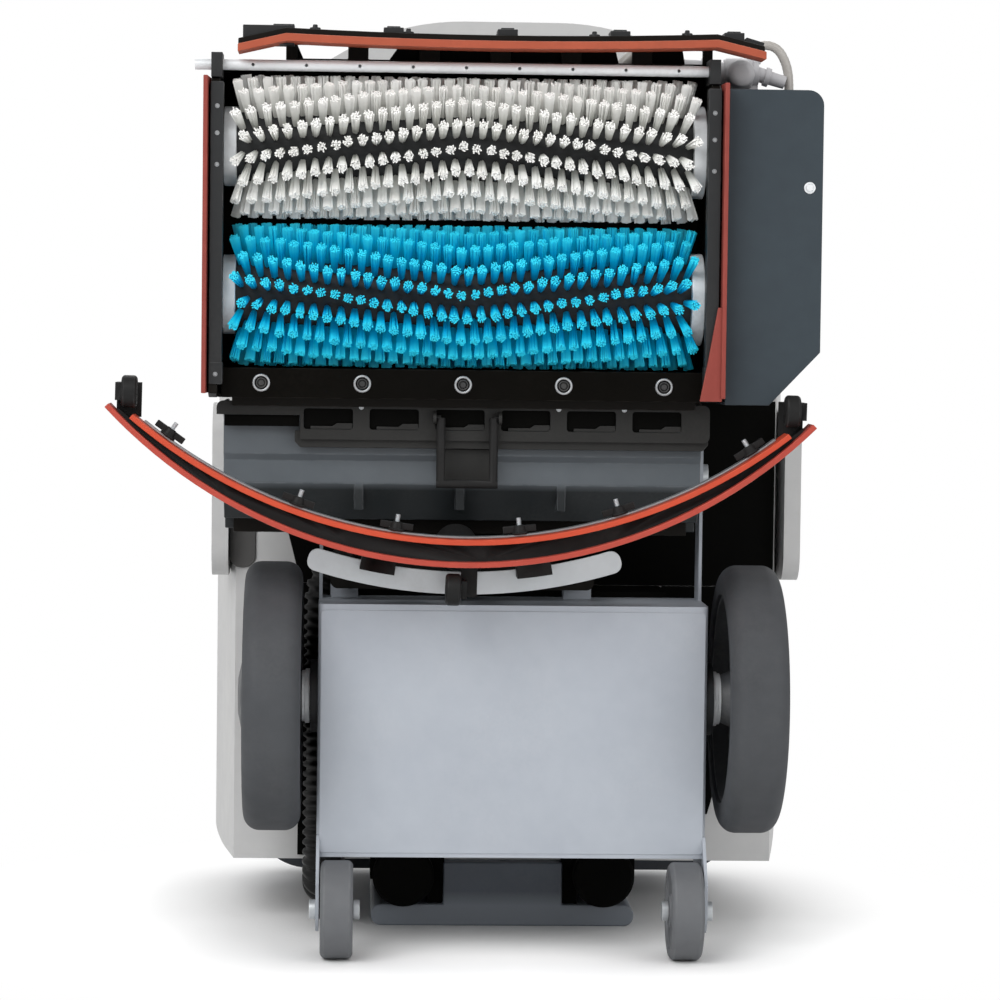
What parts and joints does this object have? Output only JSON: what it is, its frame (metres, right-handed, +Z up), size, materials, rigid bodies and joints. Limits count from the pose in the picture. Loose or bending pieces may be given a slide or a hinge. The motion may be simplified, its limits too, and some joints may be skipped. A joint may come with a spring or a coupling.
{
  "type": "floor scrubber dryer",
  "caption": "Walk-behind floor scrubber dryer stood on its tail: cylindrical brushes in a lifting deck, slide-out debris tray, swinging curved squeegee, tanks and folding handle.",
  "frame": {"origin": "floor under the tipped-up machine, below the middle of its overall width and depth", "axes": "+Z up, which is the machine's forward direction; -Y is where its underside and brushes face; +X is to the right when looking at the underside"},
  "size_m": [0.6567, 0.6243, 0.876],
  "materials": {
    "frame_paint": "satin powder coat",
    "zinc": "zinc plated",
    "alloy": "turned alloy",
    "cast_case": "cast alloy",
    "tyre": "solid rubber, matt",
    "wheel_plastic": "moulded",
    "roller_rubber": "non-marking rubber",
    "body_plastic": "rotomoulded",
    "tank_plastic": "rotomoulded",
    "cover_plastic": "moulded, satin",
    "black_paint": "black powder coat",
    "black_plastic": "moulded",
    "bumper_plastic": "moulded",
    "tray_plastic": "moulded",
    "skirt_rubber": "worn red rubber",
    "blade_rubber": "orange red rubber",
    "white_nylon": "nylon bristle",
    "blue_nylon": "nylon bristle",
    "black_rubber": "black rubber",
    "red_plastic": "moulded",
    "motor_paint": "black paint"
  },
  "bodies": {
    "chassis": {"chassis_frame": "frame_paint", "pivot_bolts": "zinc", "transaxle": "cast_case", "solution_tank": "body_plastic", "batteries": "black_plastic", "recovery_tank": "tank_plastic", "hinge_pin": "zinc", "vacuum_motor": "motor_paint", "tail_bumper": "bumper_plastic", "drain_hoses": "black_rubber", "suction_hose": "black_rubber"},
    "wheel_left": {"wheel_tyre_left": "tyre", "wheel_hub_left": "wheel_plastic"},
    "wheel_right": {"wheel_tyre_right": "tyre", "wheel_hub_right": "wheel_plastic"},
    "tail_roller_left": {"tail_roller_left": "roller_rubber"},
    "tail_roller_right": {"tail_roller_right": "roller_rubber"},
    "deck": {"deck_housing": "black_paint", "bearing_plate": "black_paint", "brush_motor": "motor_paint", "drive_belt": "black_rubber", "belt_cover": "cover_plastic", "side_skirt_left": "skirt_rubber", "side_skirt_right": "skirt_rubber", "spray_bar": "zinc", "spray_bar_brackets": "black_plastic", "front_skirt_blade": "blade_rubber", "front_skirt_carrier": "black_paint", "skirt_knobs": "black_plastic", "rear_seal_strip": "black_paint", "deck_screws": "zinc", "solution_valve": "tray_plastic", "solution_hose": "white_nylon"},
    "front_brush": {"front_brush_core": "black_plastic", "front_brush_hubs": "alloy", "front_brush_bristles": "white_nylon"},
    "rear_brush": {"rear_brush_core": "black_plastic", "rear_brush_hubs": "alloy", "rear_brush_bristles": "blue_nylon"},
    "motor_pulley": {"motor_pulley": "alloy"},
    "tray": {"debris_tray": "tray_plastic", "tray_rim": "black_plastic"},
    "bail": {"tray_bail": "black_plastic"},
    "yoke": {"lift_yoke": "black_paint", "swing_rail": "zinc", "suction_boot": "black_rubber"},
    "squeegee": {"squeegee_body": "black_plastic", "squeegee_rear_blade": "blade_rubber", "squeegee_front_blade": "blade_rubber", "squeegee_clamp_band": "black_paint", "squeegee_knobs": "black_plastic"},
    "roller_left": {"squeegee_roller_left": "black_plastic"},
    "roller_right": {"squeegee_roller_right": "black_plastic"},
    "roller_centre": {"squeegee_roller_centre": "black_plastic"},
    "lid": {"tank_lid": "tank_plastic"},
    "handle": {"handle_frame": "black_paint", "handle_grips": "black_rubber", "console": "black_plastic"},
    "paddle": {"drive_paddle": "black_plastic"},
    "button": {"stop_button": "red_plastic"}
  },
  "joints": [
    {"name": "wheel_left_spin", "type": "hinge", "parent": "chassis", "child": "wheel_left", "pos_m": [-0.1792, -0.1872, 0.237], "axis": [1, 0, 0], "continuous": true},
    {"name": "wheel_right_spin", "type": "hinge", "parent": "chassis", "child": "wheel_right", "pos_m": [0.2638, -0.1872, 0.237], "axis": [1, 0, 0], "continuous": true},
    {"name": "tail_roller_left_spin", "type": "hinge", "parent": "chassis", "child": "tail_roller_left", "pos_m": [-0.1184, -0.2372, 0.045], "axis": [1, 0, 0], "continuous": true},
    {"name": "tail_roller_right_spin", "type": "hinge", "parent": "chassis", "child": "tail_roller_right", "pos_m": [0.203, -0.2372, 0.045], "axis": [1, 0, 0], "continuous": true},
    {"name": "deck_lift", "type": "hinge", "parent": "chassis", "child": "deck", "pos_m": [0.0423, -0.1382, 0.445], "axis": [1, 0, 0], "range_deg": [-7, 0]},
    {"name": "front_brush_spin", "type": "hinge", "parent": "deck", "child": "front_brush", "pos_m": [-0.0087, -0.2422, 0.743], "axis": [1, 0, 0], "continuous": true},
    {"name": "rear_brush_spin", "type": "hinge", "parent": "deck", "child": "rear_brush", "pos_m": [-0.0087, -0.2422, 0.609], "axis": [1, 0, 0], "continuous": true},
    {"name": "motor_pulley_spin", "type": "hinge", "parent": "deck", "child": "motor_pulley", "pos_m": [0.2453, -0.1222, 0.556], "axis": [1, 0, 0], "continuous": true},
    {"name": "tray_slide", "type": "slide", "parent": "deck", "child": "tray", "axis": [-1, 0, 0], "range_m": [0, 0.15]},
    {"name": "bail_swing", "type": "hinge", "parent": "tray", "child": "bail", "pos_m": [-0.0037, -0.2582, 0.499], "axis": [1, 0, 0], "range_deg": [-85, 0]},
    {"name": "squeegee_lift", "type": "slide", "parent": "chassis", "child": "yoke", "axis": [0, 1, 0], "range_m": [0, 0.02], "deforming": ["suction_hose"]},
    {"name": "squeegee_swing", "type": "hinge", "parent": "yoke", "child": "squeegee", "pos_m": [-0.0042, -0.2407, 0.811], "axis": [0, -1, 0], "range_deg": [-4.9, 7.1], "deforming": ["suction_boot"]},
    {"name": "roller_left_spin", "type": "hinge", "parent": "squeegee", "child": "roller_left", "pos_m": [-0.30783, -0.2962, 0.52075], "axis": [0.9998, 0, -0.0192], "continuous": true},
    {"name": "roller_right_spin", "type": "hinge", "parent": "squeegee", "child": "roller_right", "pos_m": [0.28806, -0.2962, 0.50931], "axis": [0.9998, 0, -0.0192], "continuous": true},
    {"name": "roller_centre_spin", "type": "hinge", "parent": "squeegee", "child": "roller_centre", "pos_m": [-0.01614, -0.2962, 0.34544], "axis": [0.9998, 0, -0.0192], "continuous": true},
    {"name": "lid_hinge", "type": "hinge", "parent": "chassis", "child": "lid", "pos_m": [0.0423, 0.2988, 0.748], "axis": [1, 0, 0], "range_deg": [0, 85]},
    {"name": "handle_fold", "type": "hinge", "parent": "chassis", "child": "handle", "pos_m": [0.0423, 0.1878, 0.11], "axis": [-1, 0, 0], "range_deg": [0, 95]},
    {"name": "paddle_press", "type": "hinge", "parent": "handle", "child": "paddle", "pos_m": [0.0423, 0.2218, 0.788], "axis": [1, 0, 0], "range_deg": [0, 12], "stiffness_Nm_per_rad": 1, "springref_deg": -2.86},
    {"name": "stop_press", "type": "slide", "parent": "handle", "child": "button", "axis": [0, 0, -1], "range_m": [0, 0.003], "stiffness_N_per_m": 400, "springref_m": -0.002}
  ],
  "couplings": [
    {"joint": "motor_pulley_spin", "follows": "front_brush_spin", "ratio": 1},
    {"joint": "rear_brush_spin", "follows": "front_brush_spin", "ratio": -0.9263}
  ]
}
